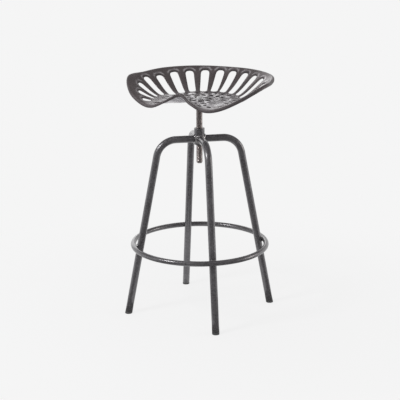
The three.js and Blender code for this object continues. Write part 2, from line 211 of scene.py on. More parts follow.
gunmetal_dark, gunmetal_light = (0.062, 0.059, 0.063, 1), (0.18, 0.175, 0.184, 1)
# The second colour here, the welds' light tone, is a painted highlight: far lighter than the legs' paint so
# that the beads glint.
gunmetal_rubbed, weld_highlight_tone = (0.32, 0.32, 0.325, 1), (0.64, 0.63, 0.63, 1)
same_place = 1e-7


def finished_piece(name, skin, material, sharp_angle=None, place=None):
    """An object of a skin's points and faces, shaded smooth, with its faces turned outwards"""
    points, faces = skin
    mesh = bpy.data.meshes.new(name)
    mesh.from_pydata([place @ point for point in points] if place else points, [], faces)
    shell = bmesh.new()
    shell.from_mesh(mesh)
    bmesh.ops.remove_doubles(shell, verts=shell.verts, dist=same_place)
    bmesh.ops.recalc_face_normals(shell, faces=shell.faces)
    shell.to_mesh(mesh)
    shell.free()
    mesh.shade_smooth()
    if sharp_angle:
        mesh.set_sharp_from_angle(angle=radians(sharp_angle))
    mesh.materials.append(material)
    piece = bpy.data.objects.new(name, mesh)
    scene.collection.objects.link(piece)
    return piece


def around(radius, turn, height):
    """A place at a radius and a turn about the upright axis"""
    return Vector((radius * cos(turn), radius * sin(turn), height))


def ring_quads(here, there, sides):
    """Faces between two rings of points, by their first numbers"""
    turns = [(k, (k + 1) % sides) for k in range(sides)]
    return [(here + k, here + after, there + after, there + k) for k, after in turns]


def joined(*skins):
    """Several skins as one"""
    points, faces = [], []
    for more_points, more_faces in skins:
        faces += [tuple(len(points) + number for number in face) for face in more_faces]
        points += more_points
    return points, faces


def tube_round(path, radius, sides, closed=False, capped=False):
    """A round skin along a path, with one radius, or one for each place and turn"""
    count = len(path)
    points, faces = [], []
    side = None
    for i, place in enumerate(path):
        before = path[i - 1] if closed or i else place
        after = path[(i + 1) % count] if closed or i < count - 1 else place
        along = (after - before).normalized()
        side = along.orthogonal() if side is None else side
        side = (side - along * side.dot(along)).normalized()
        across = along.cross(side)
        for k in range(sides):
            turn = tau * k / sides
            outward = side * cos(turn) + across * sin(turn)
            points.append(place + outward * (radius(i, turn) if callable(radius) else radius))
    for i in range(count if closed else count - 1):
        faces += ring_quads(i * sides, ((i + 1) % count) * sides, sides)
    if capped:
        faces.append(tuple(reversed(range(sides))))
        faces.append(tuple(range(len(points) - sides, len(points))))
    return points, faces


def weld_skin(path, size, seed, closed=False):
    """A weld bead laid in overlapping ripples along a path"""
    chance = random.Random(seed)
    lengths = [0]
    for before, after in zip(path, path[1:]):
        lengths.append(lengths[-1] + (after - before).length)
    wander = [chance.uniform(-weld_sway_share, weld_sway_share) for _ in range(weld_sway_count)]

    def bead_radius(i, turn):
        ripple = abs(sin(pi * lengths[i] / weld_ripple_pitch))
        sway = wander[int(lengths[i] / weld_ripple_pitch) % weld_sway_count]
        from_end = min(i, len(path) - 1 - i)
        grown = 1 if closed else min(1, weld_end_share + weld_growth_share * from_end)
        return size * grown * (weld_trough_share + weld_ripple_share * ripple + sway)
    return tube_round(path, bead_radius, weld_sides, closed, capped=not closed)


def leg_plane_path():
    """Centre line of a leg in its own upright plane, from the hub out, round the bend and down"""
    corner = foot_circle_radius - leg_cross_height * tan(leg_splay)
    bend = pi / 2 - leg_splay
    bend_start = corner - leg_bend_radius * tan(bend / 2)
    path = [Vector((hub_radius * share, 0, leg_cross_height)) for share in leg_start_shares]
    for i in range(leg_bend_steps + 1):
        turn = bend * i / leg_bend_steps
        path.append(Vector((bend_start + leg_bend_radius * sin(turn), 0,
                            leg_cross_height - leg_bend_radius * (1 - cos(turn)))))
    top = path[-1]
    foot = Vector((foot_circle_radius - foot_cap_length * sin(leg_splay), 0,
                   foot_cap_length * cos(leg_splay)))
    return path + [top.lerp(foot, i / leg_straight_steps) for i in range(1, leg_straight_steps + 1)]


def leg_skin():
    """Outside, inside and both ends of a leg tube, with its hub end cut to the round of the hub"""
    path = leg_plane_path()
    skins = [tube_round(path, radius, leg_sides) for radius in (leg_radius, leg_radius - leg_wall)]
    for tube_points, _ in skins:
        for point in tube_points[:leg_sides]:
            point.x = sqrt(hub_radius ** 2 - point.y ** 2) - hub_touch
    points, faces = joined(*skins)
    inner = len(points) // 2
    for end in (0, inner - leg_sides):
        faces += ring_quads(end, inner + end, leg_sides)
    return points, faces


def hub_weld_path(steps=72):
    """The line where a round leg meets the round hub, just outside both"""
    path = []
    reach = leg_radius + leg_weld_stand_off
    for i in range(steps):
        turn = tau * i / steps
        y = max(-leg_weld_half_width, min(leg_weld_half_width, reach * cos(turn)))
        out = sqrt((hub_radius + leg_weld_stand_off) ** 2 - y * y)
        path.append(Vector((out, y, leg_cross_height + reach * sin(turn))))
    return path


def effect_group(name, inputs, outputs):
    """An empty node group with named number inputs and outputs"""
    group = bpy.data.node_groups.new(name, "ShaderNodeTree")
    for side, labels in (("INPUT", inputs), ("OUTPUT", outputs)):
        for label in labels:
            group.interface.new_socket(label, in_out=side, socket_type="NodeSocketFloat")
    return group, group.nodes.new("NodeGroupInput").outputs, group.nodes.new("NodeGroupOutput")


def join(tree, node, **sockets):
    """Link sockets to a node's inputs, whose names are written with _ for a space"""
    for label, socket in sockets.items():
        tree.links.new(socket, node.inputs[label.replace("_", " ")])


def per(tree, size):
    """The scale of a texture whose features have a size in metres"""
    return combine(tree, "DIVIDE", 1.0, size)


def noise(tree, place, scale, detail, roughness=0.5):
    return add(tree, "TexNoise", {"Vector": place, "Scale": scale, "Detail": detail,
                                  "Roughness": roughness}).outputs[0]


def hammered_group():
    """Soft dimples and mottled tone of a hammered paint, at a cell and a patch size in metres"""
    group, given, result = effect_group("hammered_paint", ("Cell", "Patch"), ("Tone", "Height"))
    place = add(group, "TexCoord").outputs["Object"]
    per_cell = per(group, given["Cell"])
    dimples = add(group, "TexVoronoi", {"Vector": place, "Scale": per_cell, "Smoothness": dimple_softness},
                  feature="SMOOTH_F1").outputs["Distance"]
    flecks = noise(group, place, per_cell, fleck_detail, fleck_roughness)
    patches = noise(group, place, per(group, given["Patch"]), patch_detail)
    tone = combine(group, "MULTIPLY_ADD", ranged(group, flecks, fleck_range), fleck_weight, patches)
    join(group, result, Tone=combine(group, "MULTIPLY", tone, tone_gain, use_clamp=True),
         Height=combine(group, "ADD", dimples, flecks))
    return group


def rubbed_group():
    """Thin broken patches where hands, boots and moving have rubbed a finish lighter"""
    group, given, result = effect_group("rubbed_patches", ("Size", "Amount"), ("Mask",))
    place = add(group, "TexCoord").outputs["Object"]
    per_size = per(group, given["Size"])
    broad = noise(group, place, per_size, broad_rub_detail)
    fine_scale = combine(group, "MULTIPLY", per_size, fine_patches)
    fine = noise(group, place, fine_scale, fine_rub_detail, fine_rub_roughness)
    both = combine(group, "MULTIPLY", broad, fine)
    edge = combine(group, "MULTIPLY_ADD", rub_gain, given["Amount"], rub_offset)
    low = combine(group, "SUBTRACT", rub_level, edge)
    high = combine(group, "ADD", low, rub_softness)
    join(group, result, Mask=ranged(group, both, (low, high)))
    return group


def effect(tree, group, **values):
    """The outputs of a group placed in a material with its own values"""
    node = tree.nodes.new("ShaderNodeGroup")
    node.node_tree = group
    for label, value in values.items():
        node.inputs[label].default_value = value
    return node.outputs


def relief(tree, height, strength, distance):
    """A bumped normal from a height"""
    return add(tree, "Bump", {"Height": height, "Strength": strength, "Distance": distance}).outputs[0]


def new_finish(name, **constants):
    """A material and its shader, with the values that are the same all over"""
    material = bpy.data.materials.new(name)
    material.use_nodes = True
    shader = material.node_tree.nodes["Principled BSDF"]
    for socket, value in constants.items():
        shader.inputs[socket.replace("_", " ")].default_value = value
    return material, material.node_tree, shader


def two_tone_finish(name, group, sizes, tones, gloss, bump, wear=None, rubbed_tone=None, **constants):
    """A finish with a group's tone and relief, rubbed lighter in patches where a rubbed tone is given"""
    material, tree, shader = new_finish(name, **constants)
    texture = effect(tree, group, **sizes)
    color = blend(tree, texture["Tone"], *tones)
    if rubbed_tone:
        color = blend(tree, effect(tree, rubbed, **wear)["Mask"], color, rubbed_tone)
    join(tree, shader, Base_Color=color, Roughness=ranged(tree, texture["Tone"], wanted=gloss),
         Normal=relief(tree, texture["Height"], *bump))
    return material


hammered, rubbed = hammered_group(), rubbed_group()
gunmetal_paint = two_tone_finish(
    "gunmetal_paint", hammered, {"Cell": 0.005, "Patch": 0.04}, (gunmetal_dark, gunmetal_light),
    gloss=(0.22, 0.38), bump=(0.3, 0.0008), wear={"Size": 0.06, "Amount": 0.35},
    rubbed_tone=gunmetal_rubbed, Metallic=0.55, Coat_Weight=0.5, Coat_Roughness=0.06)
# Painted highlight: the weld beads carry the legs' paint in a far lighter tone, so that they glint.
painted_weld_with_highlight = two_tone_finish(
    "painted_weld_with_highlight", hammered, {"Cell": 0.0016, "Patch": 0.012}, (gunmetal_dark, weld_highlight_tone),
    gloss=(0.16, 0.32), bump=(0.3, 0.0003), Metallic=0.88, Coat_Weight=1.0, Coat_Roughness=0.05)
leg_turns = [Matrix.Rotation(first_leg_turn + tau * i / leg_count, 4, "Z") for i in range(leg_count)]
for number, leg_turn in enumerate(leg_turns, 1):
    leg = finished_piece(f"leg_tube_{number}", leg_skin(), gunmetal_paint, place=leg_turn)
    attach(leg, "frame")
    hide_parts(f"leg_{number}")
    bead_skin = weld_skin(hub_weld_path(), leg_weld_size, leg_weld_seed + number - 1, closed=True)
    bead = finished_piece(f"leg_weld_{number}", bead_skin, painted_weld_with_highlight, place=leg_turn)
    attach(bead, "frame")

# Foot caps: black plastic mouldings pushed into the open ends of the legs. Each has a plug with
# ribs, a rounded shoulder and a sole that is flat on the floor.
foot_plug_length, foot_plug_ribs, rib_share = 18 * mm, 3, 0.4
cap_touch, sole_overrun, sole_taper, sole_taper_height = 0.3 * mm, 12 * mm, 0.6 * mm, 1.5 * mm
rib_depth, rib_height, plug_tip_taper = 0.4 * mm, 2.4 * mm, 1 * mm
sole_round, shoulder_round, plug_neck_round = 1.2 * mm, 1.1 * mm, 0.2 * mm
rib_round, plug_tip_round, most_round_share = 0.3 * mm, 0.8 * mm, 0.48
cap_sides, cap_sharp_angle = 48, 35
plastic_dark, plastic_light = (0.03, 0.03, 0.031, 1), (0.075, 0.075, 0.077, 1)
plastic_scuffed = (0.12, 0.12, 0.12, 1)


def bent(start, corner, end, t):
    """A place on the curve that leaves its start towards a corner and turns to its end"""
    return start * (1 - t) ** 2 + corner * 2 * t * (1 - t) + end * t * t


def softened(corners, closed=False, steps=5):
    """An outline with each corner (across, up, rounding) turned into a short curve"""
    outline = []
    count = len(corners)
    for i, (across, up, rounding) in enumerate(corners):
        corner = Vector((across, up))
        at_end = not closed and i in (0, count - 1)
        if at_end or rounding <= 0:
            outline.append(corner)
            continue
        before = Vector(corners[i - 1][:2]) - corner
        after = Vector(corners[(i + 1) % count][:2]) - corner
        start = corner + before.normalized() * min(rounding, before.length * most_round_share)
        end = corner + after.normalized() * min(rounding, after.length * most_round_share)
        outline += [bent(start, corner, end, k / steps) for k in range(steps + 1)]
    return [(point.x, point.y) for point in outline]


def turned_skin(profile, sides=64, closed=False):
    """A profile (radius, height) turned about the upright axis"""
    points, faces, rings = [], [], []
    for radius, height in profile:
        ring_sides = sides if radius else 1
        rings.append([len(points) + k for k in range(ring_sides)])
        points += [around(radius, tau * k / sides, height) for k in range(ring_sides)]
    for low, high in list(zip(rings, rings[1:])) + ([(rings[-1], rings[0])] if closed else []):
        for k in range(sides):
            after = (k + 1) % sides
            loop = [low[k % len(low)], low[after % len(low)], high[after % len(high)], high[k % len(high)]]
            face = tuple(dict.fromkeys(loop))
            if len(face) > 2:
                faces.append(face)
    return points, faces


def foot_cap_skin():
    """A cap upright on its own axis, with its shoulder at the tube's end"""
    shoulder = foot_cap_length - cap_touch
    plug_radius = leg_radius - leg_wall - cap_touch
    corners = [(0, -sole_overrun, 0), (leg_radius - sole_taper, -sole_overrun, 0),
               (leg_radius, sole_taper_height, sole_round), (leg_radius, shoulder, shoulder_round),
               (plug_radius - rib_depth, shoulder, plug_neck_round)]
    for rib in range(foot_plug_ribs):
        low = shoulder + foot_plug_length * (rib + rib_share) / (foot_plug_ribs + rib_share)
        corners += [(plug_radius - rib_depth, low, 0), (plug_radius, low + rib_height / 2, rib_round),
                    (plug_radius - rib_depth, low + rib_height, 0)]
    top = shoulder + foot_plug_length
    corners += [(plug_radius - plug_tip_taper, top, plug_tip_round), (0, top, 0)]
    return turned_skin(softened(corners), cap_sides)


def cut_flat(piece):
    """Take off what lies under the floor and close the cut with one flat face"""
    shell = bmesh.new()
    shell.from_mesh(piece.data)
    cut = bmesh.ops.bisect_plane(shell, geom=shell.verts[:] + shell.edges[:] + shell.faces[:],
                                 plane_co=(0, 0, 0), plane_no=(0, 0, -1), clear_outer=True)
    sole = [item for item in cut["geom_cut"] if isinstance(item, bmesh.types.BMEdge)]
    bmesh.ops.edgeloop_fill(shell, edges=sole)
    bmesh.ops.recalc_face_normals(shell, faces=shell.faces)
    shell.to_mesh(piece.data)
    shell.free()
    piece.data.set_sharp_from_angle(angle=radians(cap_sharp_angle))


moulded_plastic = two_tone_finish(
    "moulded_plastic", hammered, {"Cell": 0.0009, "Patch": 0.012}, (plastic_dark, plastic_light),
    gloss=(0.5, 0.72), bump=(0.25, 0.0002), wear={"Size": 0.012, "Amount": 0.5},
    rubbed_tone=plastic_scuffed, Metallic=0.0, Specular_IOR_Level=0.4)
for number, leg_turn in enumerate(leg_turns, 1):
    stand = leg_turn @ Matrix.Translation((foot_circle_radius, 0, 0)) @ Matrix.Rotation(-leg_splay, 4, "Y")
    cap = finished_piece(f"foot_plug_{number}", foot_cap_skin(), moulded_plastic, cap_sharp_angle, stand)
    cut_flat(cap)
    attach(cap, "frame")
    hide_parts(f"foot_cap_{number}")

# Foot ring: one length of 16 mm steel tube rolled to a circle round the outside of the legs, butt
# welded at the back, and tacked to each leg above and below. It is painted with the legs.
ring_height, ring_tube_radius, ring_wall, ring_touch = 213 * mm, 8 * mm, 1.2 * mm, 0.3 * mm
ring_vent_radius, ring_vent_reach, ring_sharp_angle = 2 * mm, 12 * mm, 40
ring_steps, ring_sides, bore_sides, vent_sides = 240, 32, 16, 24
seam_turn, seam_share, seam_size, seam_steps, seam_seed = radians(108), 0.93, 1.1 * mm, 48, 31
tack_height, tack_size, tack_half_turn, tack_seed = 4.6 * mm, 2.5 * mm, radians(34), 41
tack_stand_off, tack_end_rise = 1.0 * mm, 1.4 * mm
leg_radius_at_ring = foot_circle_radius - ring_height * tan(leg_splay)
ring_radius = leg_radius_at_ring + (leg_radius + ring_tube_radius + ring_touch) / cos(leg_splay)


def circle_path(radius, height, steps):
    return [around(radius, tau * i / steps, height) for i in range(steps)]


def ring_part(name, path, radius, sides, **shape):
    return finished_piece(name, tube_round(path, radius, sides, **shape), gunmetal_paint)


def drilled(piece, cutter):
    """Take the cutter's space out of a piece and leave it one plain mesh"""
    bore = piece.modifiers.new("vent", "BOOLEAN")
    bore.operation, bore.object, bore.solver = "DIFFERENCE", cutter, "EXACT"
    bpy.context.view_layer.update()
    evaluated = piece.evaluated_get(bpy.context.evaluated_depsgraph_get())
    made = bpy.data.meshes.new_from_object(evaluated)
    piece.modifiers.clear()
    piece.data = made
    bpy.data.objects.remove(cutter)


def seam_path():
    """A loop round the ring's tube, where its two ends meet"""
    path = []
    for step in range(seam_steps):
        turn = tau * step / seam_steps
        path.append(around(ring_radius + ring_tube_radius * seam_share * cos(turn), seam_turn,
                           ring_height + ring_tube_radius * seam_share * sin(turn)))
    return path


def tack_path(side, steps=16):
    """A tack weld's line round the outer face of a leg, above (1) or below (-1) the ring"""
    height = ring_height + side * tack_height
    centre = foot_circle_radius - height * tan(leg_splay)
    reach = leg_radius + tack_stand_off
    return [Vector((centre + reach * cos(turn), reach * sin(turn),
                    height + side * tack_end_rise * (turn / tack_half_turn) ** 2))
            for turn in (tack_half_turn * (2 * i / steps - 1) for i in range(steps + 1))]


ring_path = circle_path(ring_radius, ring_height, ring_steps)
ring = ring_part("foot_ring_tube", ring_path, ring_tube_radius, ring_sides, closed=True)
drilled(ring, ring_part("foot_ring_bore", ring_path, ring_tube_radius - ring_wall, bore_sides, closed=True))
vent_path = [Vector((ring_radius, 0, height)) for height in (ring_height - ring_vent_reach, ring_height)]
drilled(ring, ring_part("foot_ring_vent", vent_path, ring_vent_radius, vent_sides, capped=True))
ring.data.shade_smooth()
ring.data.set_sharp_from_angle(angle=radians(ring_sharp_angle))
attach(ring, "frame")
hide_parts("foot_ring")

seam_skin = weld_skin(seam_path(), seam_size, seam_seed, closed=True)
seam = finished_piece("ring_seam_weld", seam_skin, painted_weld_with_highlight)
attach(seam, "frame")

for number, leg_turn in enumerate(leg_turns):
    tacks = [weld_skin(tack_path(side), tack_size, tack_seed + 2 * number + side) for side in (1, -1)]
    tack = finished_piece(f"ring_tack_{number + 1}", joined(*tacks), painted_weld_with_highlight, place=leg_turn)
    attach(tack, "frame")

# Hub: a turned steel sleeve, 32 mm across, that the legs are welded to, with its top corner
# rounded off. A threaded steel bush is pressed into it, and its top face shows round the spindle.
hub_low, hub_high, hub_bore_radius = 526 * mm, 577 * mm, 12.8 * mm
bush_low, bush_radius, bush_bore_radius = 529 * mm, 12.5 * mm, 9.85 * mm
hub_rounds, bush_rounds = (0.4 * mm, 0.8 * mm, 2.4 * mm, 0.3 * mm), (1.0 * mm, 0.8 * mm, 0.5 * mm, 1.0 * mm)
turned_detail, bloom_detail, bloom_roughness, bloom_range = 2.0, 6.0, 0.65, (0.36, 0.66)
steel_dark, steel_light = (0.2, 0.176, 0.17, 1), (0.4, 0.362, 0.352, 1)


def sleeve_skin(bore, radius, low, high, rounds, sides=64):
    """A turned sleeve with its edges rounded, from the lower bore edge outwards and up"""
    corners = list(zip((bore, radius, radius, bore), (low, low, high, high), rounds))
    return turned_skin(softened(corners, closed=True), sides, closed=True)


def turning_marks_group():
    """Fine rings left by the lathe across an upright part, and brown bloom in patches"""
    group, given, result = effect_group("turning_marks", ("Pitch", "Bloom"), ("Tone", "Height"))
    place = add(group, "TexCoord").outputs["Object"]
    height = add(group, "SeparateXYZ", {0: place}).outputs[2]
    upright = add(group, "CombineXYZ", {0: 0.0, 1: 0.0, 2: height}).outputs[0]
    rings = noise(group, upright, per(group, given["Pitch"]), turned_detail)
    bloom = noise(group, place, per(group, given["Bloom"]), bloom_detail, bloom_roughness)
    join(group, result, Tone=ranged(group, bloom, bloom_range), Height=rings)
    return group


turning_marks = turning_marks_group()
oiled_steel = two_tone_finish(
    "oiled_rod_steel", turning_marks, {"Pitch": 0.0005, "Bloom": 0.014}, (steel_light, steel_dark),
    gloss=(0.24, 0.46), bump=(0.2, 0.0001), Metallic=0.92)
hub_skin = sleeve_skin(hub_bore_radius, hub_radius, hub_low, hub_high, hub_rounds, sides=72)
hub = finished_piece("hub_tube", hub_skin, gunmetal_paint, sharp_angle=50)
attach(hub, "frame")
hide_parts("hub_sleeve")

bush_skin = sleeve_skin(bush_bore_radius, bush_radius, bush_low, hub_high, bush_rounds)
bush = finished_piece("hub_bush", bush_skin, oiled_steel, sharp_angle=50)
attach(bush, "frame")
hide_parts("threaded_bush")

# Spindle: a 19 mm steel screw with a 2.5 mm thread along it, rounded at its lower tip and plain
# where the flange is welded on. It turns in the bush and carries the seat up and down.
spindle_radius, thread_depth, thread_pitch = 9.5 * mm, 0.5 * mm, 2.5 * mm
spindle_low, spindle_high, spindle_tip = 467 * mm, 661.7 * mm, 7 * mm
thread_low, thread_high, neck_low = 475 * mm, 644 * mm, 646 * mm
tip_radius_shares, tip_height_shares = (0, 0.5, 0.72, 0.85, 0.95, 1), (0, 0.05, 0.15, 0.3, 0.6, 1)
top_bore_radius, top_bore_end, top_round, top_bore_round = 5.3 * mm, 637.7 * mm, 1.5 * mm, 0.4 * mm
groove_steepness, groove_flat_share, thread_skin_share = 8, 0.5, 0.99


def thread_cut(turn, height):
    """How deep the thread's groove is at a turn and height, fading out at both ends"""
    phase = (height / thread_pitch - turn / tau) % 1
    crest = min(1, max(0, (0.5 - abs(phase - 0.5)) * groove_steepness - groove_flat_share))
    from_end = min(height - thread_low, thread_high - height)
    return thread_depth * (1 - crest) * min(1, max(0, from_end / thread_pitch))


def spindle_skin(sides=40, steps_per_pitch=8):
    profile = [(share * spindle_radius, spindle_low + spindle_tip * up)
               for share, up in zip(tip_radius_shares, tip_height_shares)]
    height = thread_low
    while height < thread_high + same_place:
        profile.append((spindle_radius, height))
        height += thread_pitch / steps_per_pitch
    top_corners = [(spindle_radius, neck_low, 0), (spindle_radius, spindle_high, top_round),
                   (top_bore_radius, spindle_high, top_bore_round), (top_bore_radius, top_bore_end, 0)]
    points, faces = turned_skin(profile + softened(top_corners) + [(0, top_bore_end)], sides)
    for point in points:
        if thread_low <= point.z <= thread_high and point.xy.length > thread_skin_share * spindle_radius:
            depth = thread_cut(atan2(point.y, point.x), point.z)
            point.xy *= (spindle_radius - depth) / spindle_radius
    return points, faces


screw = finished_piece("spindle_screw", spindle_skin(), oiled_steel, sharp_angle=60)
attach(screw, "spindle")
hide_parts("spindle")

# Mounting flange: a steel disc with a short boss, welded round the spindle's top and painted. Four
# domed bolts come down through the pan and the disc into hexagon nuts.
flange_top, flange_thickness, flange_radius = 661.7 * mm, 4 * mm, 42 * mm
boss_radius, boss_length, flange_bore_radius = 16 * mm, 16 * mm, 9.8 * mm
flange_low, boss_low = flange_top - flange_thickness, flange_top - boss_length
flange_rounds = (0.6 * mm, 1.2 * mm, 0.2 * mm, 1.0 * mm, 1.0 * mm, 0.4 * mm)
flange_weld_rise, flange_weld_size = 0.7 * mm, 2.0 * mm
spindle_weld_radius, spindle_weld_drop, spindle_weld_size = 10.6 * mm, 0.2 * mm, 1.5 * mm
round_weld_steps, round_weld_seed = 160, 57
bolt_circle_radius, bolt_count = 31 * mm, 4
bolt_radius, bolt_head_radius, bolt_head_height = 3 * mm, 5.5 * mm, 3 * mm
bolt_seat, bolt_grip = 664.3 * mm, 13.7 * mm
bolt_grooves, bolt_tip_share, bolt_tip_height = 7, 0.78, 0.7 * mm
neck_height, neck_flare = 0.4 * mm, 0.3 * mm
first_groove, groove_step, groove_middle, groove_top = 1.2 * mm, 1 * mm, 0.45 * mm, 0.8 * mm
groove_root_share = 0.86
head_edge_share, head_edge_low, head_edge_high = 0.96, 0.12, 0.3
nut_corner_radius, nut_thickness, nut_touch, nut_bore_gap = 5.75 * mm, 5 * mm, 0.3 * mm, 0.2 * mm
nut_face_share, nut_face_slope, nut_bore_chamfer = 0.97, radians(30), 0.5 * mm
plate_light, plate_dark, plate_rubbed = (0.34, 0.33, 0.33, 1), (0.12, 0.11, 0.105, 1), (0.5, 0.5, 0.5, 1)

flange_corners = list(zip(
    (flange_bore_radius, boss_radius, boss_radius, flange_radius, flange_radius, flange_bore_radius),
    (boss_low, boss_low, flange_low, flange_low, flange_top, flange_top), flange_rounds))
flange_skin = turned_skin(softened(flange_corners, closed=True), sides=72, closed=True)
flange = finished_piece("seat_flange", flange_skin, gunmetal_paint, sharp_angle=40)
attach(flange, "seat")
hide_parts("mount_flange")

for name, radius, height, size in (
        ("flange_weld", boss_radius + flange_weld_rise, flange_low - flange_weld_rise, flange_weld_size),
        ("spindle_weld", spindle_weld_radius, boss_low - spindle_weld_drop, spindle_weld_size)):
    round_skin = weld_skin(circle_path(radius, height, round_weld_steps), size, round_weld_seed, closed=True)
    round_weld = finished_piece(name, round_skin, painted_weld_with_highlight)
    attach(round_weld, "seat")


def domed_bolt_skin(shank, grip, head, height, seat, sides=40, dome_steps=8):
    """A bolt with a round-topped head, upright, with its thread as fine grooves near the end"""
    tip = seat - grip
    profile = [(0, tip), (shank * bolt_tip_share, tip), (shank, tip + bolt_tip_height)]
    for groove in range(bolt_grooves):
        low = tip + first_groove + groove * groove_step
        root = (shank * groove_root_share, low + groove_middle)
        profile += [(shank, low), root, (shank, low + groove_top)]
    profile += [(shank, seat - neck_height), (shank + neck_flare, seat), (head * head_edge_share, seat),
                (head, seat + head_edge_low * height), (head, seat + head_edge_high * height)]
    for step in range(1, dome_steps):
        turn = pi / 2 * step / dome_steps
        rise = head_edge_high + (1 - head_edge_high) * sin(turn)
        profile.append((head * cos(turn), seat + height * rise))
    return turned_skin(profile + [(0, seat + height)], sides)


def nut_skin(corner, bore, low, high, sides=72):
    """A hexagon nut with both ends chamfered to a round face and a chamfered bore"""
    flat = corner * cos(pi / 6)
    face = flat * nut_face_share
    points, faces = [], []
    for k in range(sides):
        turn = tau * k / sides
        edge = flat / cos((turn % (pi / 3)) - pi / 6)
        fall = (edge - face) * tan(nut_face_slope)
        profile = ((bore, low + nut_bore_chamfer), (bore + nut_bore_chamfer, low), (face, low),
                   (edge, low + fall), (edge, high - fall), (face, high),
                   (bore + nut_bore_chamfer, high), (bore, high - nut_bore_chamfer))
        points += [around(radius, turn, height) for radius, height in profile]
    row = len(points) // sides
    for k in range(sides):
        here, there = row * k, row * ((k + 1) % sides)
        for i in range(row):
            after = (i + 1) % row
            faces.append((here + i, there + i, there + after, here + after))
    return points, faces


dull_plate = two_tone_finish(
    "dull_plated_steel", turning_marks, {"Pitch": 0.0003, "Bloom": 0.006}, (plate_light, plate_dark),
    gloss=(0.28, 0.5), bump=(0.15, 0.0001), wear={"Size": 0.01, "Amount": 0.5},
    rubbed_tone=plate_rubbed, Metallic=0.9)
bolt_skin = domed_bolt_skin(bolt_radius, bolt_grip, bolt_head_radius, bolt_head_height, bolt_seat)
nut_high = flange_low - nut_touch
pan_nut_skin = nut_skin(nut_corner_radius, bolt_radius + nut_bore_gap, nut_high - nut_thickness, nut_high)
for number in range(bolt_count):
    turn = pi / 4 + tau * number / bolt_count
    shift = Matrix.Translation(around(bolt_circle_radius, turn, 0))
    for name, node, skin in ((f"pan_bolt_{number + 1}", f"flange_bolt_{number + 1}", bolt_skin),
                             (f"pan_nut_{number + 1}", f"flange_nut_{number + 1}", pan_nut_skin)):
        part = finished_piece(name, skin, dull_plate, sharp_angle=32, place=shift)
        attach(part, "seat")
        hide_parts(node)

# Seat pan: one sheet of 2 mm steel pressed to a tractor seat with a raised back and two thigh lobes,
# its edge rolled down, its wall slotted and its floor pressed and pierced. The dark paint is rubbed
# light on the floor between the pressed marks, and is darkest in them. Painted shade darkens the roll
# over the rim and an arc at each slot's outer end, a painted highlight lightens the crest above each
# arc, and painted light lightens the underside round the front notch.
pan_height, sheet_thickness, edge_bulge = 664 * mm, 2 * mm, 0.5 * mm
seat_half_width, seat_rise, pan_radius = 232 * mm, 72 * mm, 108 * mm
roll_radius, rim_drop, rim_steps = 5 * mm, 9 * mm, 360
rim_angle_shares = (0, 0.11, 0.22, 0.33, 0.44, 0.55, 0.66, 0.75, 0.83, 0.915, 1)
rim_radius_shares = (0.91, 0.92, 0.935, 0.965, 0.96, 0.99, 0.9, 0.79, 0.715, 0.635, 0.535)
rim_height_shares = (0.97, 0.975, 0.97, 0.935, 0.88, 0.85, 0.41, 0.06, 0, 0.26, 0.5)
rim_slopes = (1.1, 0.92, 0.58, 0.43, 0.47, 0.52, 0.38, 0.11, -0.2, 0.1, 0.25)
pan_edge_shares = (0.93, 0.985, 1.03, 1.06, 1.1, 1.065, 1.015, 0.945, 0.8, 0.55, 0.42)
slot_turns = (0.0365, 0.118, 0.2015, 0.287, 0.3755, 0.463, 0.547, 0.629, 0.711)
slot_starts = (0.235, 0.202, 0.177, 0.118, 0.015, 0.16, 0.185, 0.249, 0.512)
slot_ends = (0.941, 0.915, 0.87, 0.851, 0.804, 0.856, 0.749, 0.763, 0.833)
slot_count, slot_side_step, narrowest_slot_share, most_corner_share = 2 * len(slot_turns), 4 * mm, 0.6, 0.98
slot_inner_width, slot_outer_width = 21.5 * mm, 27.5 * mm
slot_inner_corner, slot_outer_corner = 7 * mm, 12 * mm
slot_dish_depth, slot_dish_width, slot_dish_power = 2.2 * mm, 6 * mm, 1.6
# Painted shade in an arc just outside each slot's outer end, and a painted highlight on the crest above it,
# strongest at the shoulders.
arc_start_share, arc_fade, arc_dark_width, arc_dark_share = 0.22, 5 * mm, 3.4 * mm, 0.75
arc_crest, arc_crest_width, arc_crest_level, arc_shoulder_share = 6.4 * mm, 2.4 * mm, 1.2, 0.6
crest_middle_share, crest_shoulder_share, most_crest_share = 0.25, 0.6, 0.7
# Painted light: the underside round the front notch is lightened in colour, for light thrown up from the
# floor.
notch_middle, notch_light_reach, notch_light_share = (0, -118 * mm), 105 * mm, 0.95
# Painted shade: the roll and the lip over the rim are darkened in colour.
lip_shade_share, lip_shade_start = 0.45, 0.2
petal_count, petal_circle_radius, petal_length, petal_width = 8, 92 * mm, 22 * mm, 13 * mm
pip_size, centre_hole_radius, bolt_hole_radius = 8.5 * mm, 5.5 * mm, 3.3 * mm
pressed_depth, raised_height, show_through_share = 1.5 * mm, 1.3 * mm, 0.4
leaf_edge, leaf_edge_share, dot_edge, dot_edge_share = 0.9 * mm, 0.35, 0.8 * mm, 0.3
leaf_rings = ((8, 32 * mm, 30 * mm, 15 * mm, 0.2, 0.2), (18, 74 * mm, 29 * mm, 13 * mm, 0.05, -0.55))
outer_leaf_ring, outer_leaves_front = (24, 108 * mm, 18 * mm, 11 * mm, 0.0, 0.0), -42 * mm
dot_ring = (16, 54 * mm, 4.2 * mm, 0.1)
lobe_leaf_places = ((0.785, 136 * mm, 27 * mm, 13 * mm), (0.85, 127 * mm, 30 * mm, 13 * mm),
                    (0.8, 106 * mm, 20 * mm, 11 * mm))
hole_margin, slot_margin, margin_fade = 1 * mm, 5 * mm, 2 * mm
lobe_turn, lobe_reach, floor_mesh_reach, mesh_reach = 0.75 * pi, 154 * mm, 115 * mm, 260 * mm
floor_mesh_step, wall_mesh_step, row_share, least_apart_share = 1.9 * mm, 4.2 * mm, 0.866, 0.72
